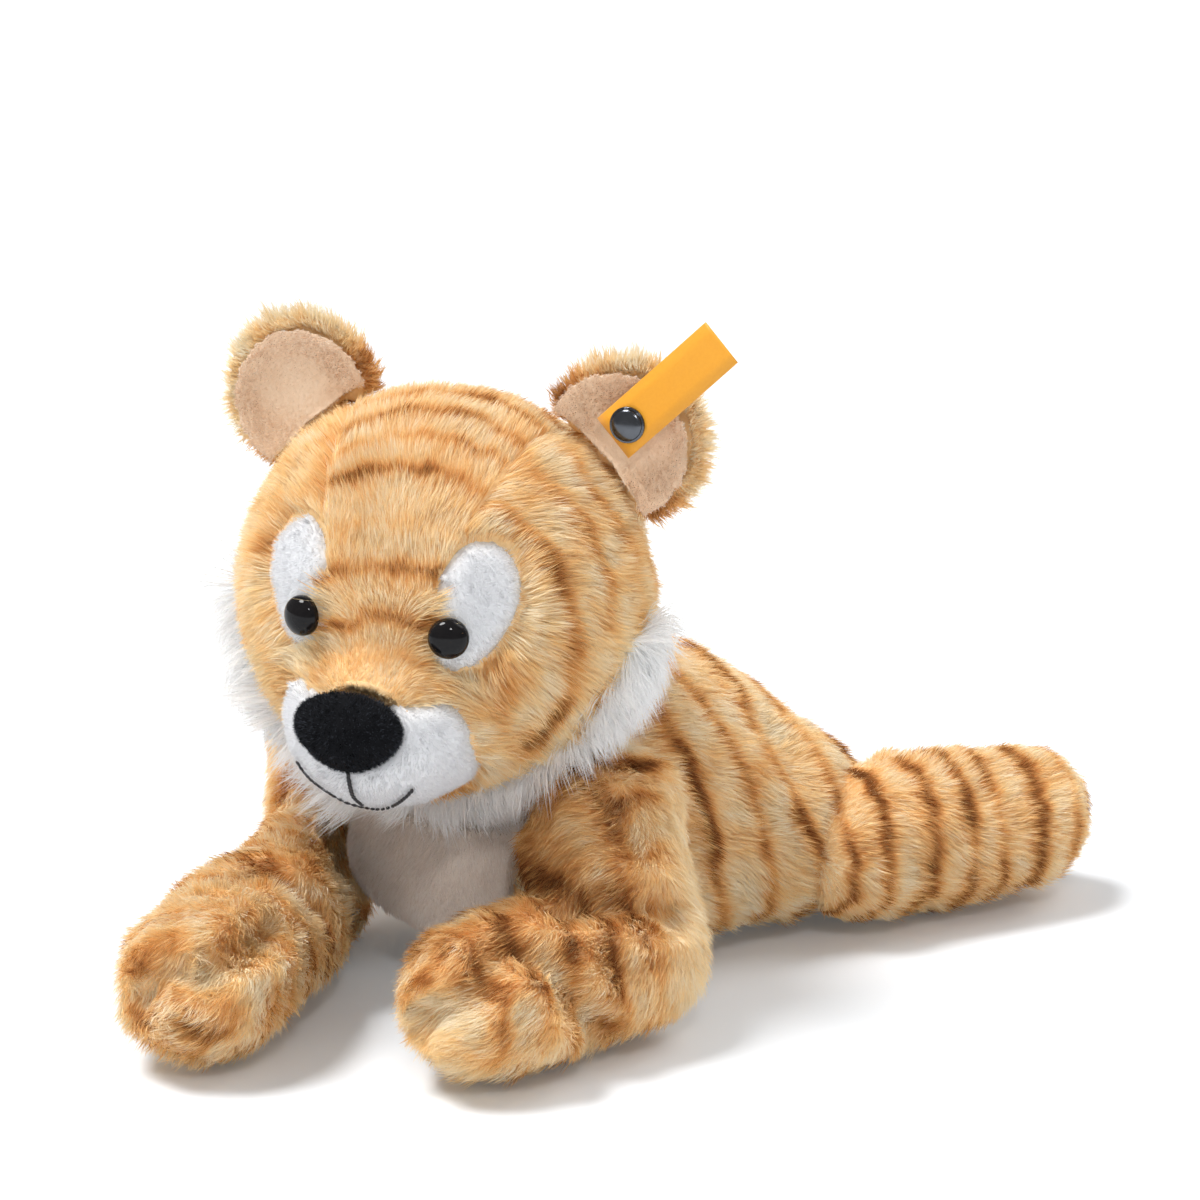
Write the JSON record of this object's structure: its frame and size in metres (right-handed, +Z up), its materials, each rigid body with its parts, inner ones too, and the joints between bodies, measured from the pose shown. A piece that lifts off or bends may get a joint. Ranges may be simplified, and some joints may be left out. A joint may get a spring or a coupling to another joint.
{
  "type": "plush animal",
  "caption": "Plush tiger lying on its belly, with striped golden fur, white muzzle and ruff, cream chest, black nose, glossy eyes and a plain ribbon tag riveted to the left ear",
  "frame": {"origin": "on the floor under the middle of the belly", "axes": "+Z up, -Y towards the chest and the forelegs, +X the tiger's left"},
  "size_m": [0.1994, 0.2974, 0.18],
  "materials": {
    "gold_fur": "long striped pile",
    "pale_fur": "long white pile",
    "white_plush": "short white pile",
    "cream_plush": "short cream pile",
    "beige_plush": "short beige pile",
    "black_fleece": "fleece",
    "black_gloss": "polished",
    "nylon": "moulded",
    "ribbon": "satin weave",
    "dark_metal": "polished dark nickel",
    "fibre": "loose filling"
  },
  "bodies": {
    "torso": {"torso_cover": "gold_fur", "chest_panel": "cream_plush", "torso_stuffing": "fibre"},
    "neck": {"neck_stuffing": "fibre"},
    "head": {"head_centre_panel": "gold_fur", "head_side_left": "gold_fur", "head_side_right": "gold_fur", "eye_patch_left": "white_plush", "eye_patch_right": "white_plush", "muzzle_panel": "white_plush", "nose_pad": "black_fleece", "eye_left": "black_gloss", "eye_right": "black_gloss", "eye_washer_left": "nylon", "eye_washer_right": "nylon", "head_stuffing": "fibre", "cheek_ruff": "pale_fur"},
    "ear_left": {"ear_left_back": "gold_fur", "ear_left_front": "beige_plush", "tag_rivet": "dark_metal", "rivet_back": "dark_metal"},
    "ear_right": {"ear_right_back": "gold_fur", "ear_right_front": "beige_plush"},
    "tag": {"ear_tag": "ribbon"},
    "foreleg_left": {"foreleg_left_cover": "gold_fur", "foreleg_left_stuffing": "fibre"},
    "foreleg_right": {"foreleg_right_cover": "gold_fur", "foreleg_right_stuffing": "fibre"},
    "hindleg_left": {"hindleg_left_cover": "gold_fur", "hindleg_left_stuffing": "fibre"},
    "hindleg_right": {"hindleg_right_cover": "gold_fur", "hindleg_right_stuffing": "fibre"},
    "tail": {"tail_cover": "gold_fur", "tail_stuffing": "fibre"}
  },
  "joints": [
    {"name": "head_turn", "type": "hinge", "parent": "torso", "child": "neck", "pos_m": [0.008, -0.034, 0.07], "axis": [0, 0, 1], "range_deg": [-10, 10], "stiffness_Nm_per_rad": 1},
    {"name": "head_nod", "type": "hinge", "parent": "neck", "child": "head", "pos_m": [0.008, -0.034, 0.07], "axis": [0.818, 0.5728, -0.0523], "range_deg": [-10, 3], "stiffness_Nm_per_rad": 2},
    {"name": "ear_left_fold", "type": "hinge", "parent": "head", "child": "ear_left", "pos_m": [0.04241, -0.03361, 0.14443], "axis": [0.5481, 0.3838, -0.7431], "range_deg": [-12, 12], "stiffness_Nm_per_rad": 0.05},
    {"name": "ear_right_fold", "type": "hinge", "parent": "head", "child": "ear_right", "pos_m": [-0.02057, -0.07771, 0.14846], "axis": [0.6087, 0.4262, 0.6691], "range_deg": [-12, 12], "stiffness_Nm_per_rad": 0.05},
    {"name": "tag_swivel", "type": "hinge", "parent": "ear_left", "child": "tag", "pos_m": [0.04881, -0.02913, 0.15294], "axis": [0.5736, -0.8191, 0], "range_deg": [-12, 12]},
    {"name": "foreleg_left_swing", "type": "hinge", "parent": "torso", "child": "foreleg_left", "pos_m": [0.045, -0.04, 0.056], "axis": [1, 0, 0], "range_deg": [-5, 25], "stiffness_Nm_per_rad": 0.5},
    {"name": "foreleg_right_swing", "type": "hinge", "parent": "torso", "child": "foreleg_right", "pos_m": [-0.044, -0.058, 0.052], "axis": [1, 0, 0], "range_deg": [-5, 25], "stiffness_Nm_per_rad": 0.5},
    {"name": "hindleg_left_swing", "type": "hinge", "parent": "torso", "child": "hindleg_left", "pos_m": [0.033, 0.046, 0.025], "axis": [0.9904, -0.1379, 0], "range_deg": [-20, 12], "stiffness_Nm_per_rad": 0.5},
    {"name": "hindleg_right_swing", "type": "hinge", "parent": "torso", "child": "hindleg_right", "pos_m": [-0.033, 0.046, 0.025], "axis": [0.5091, 0.8607, 0], "range_deg": [-20, 12], "stiffness_Nm_per_rad": 0.5},
    {"name": "tail_swing", "type": "hinge", "parent": "torso", "child": "tail", "pos_m": [-0.004, 0.068, 0.018], "axis": [0, 0, 1], "range_deg": [-8, 8], "stiffness_Nm_per_rad": 0.05}
  ]
}
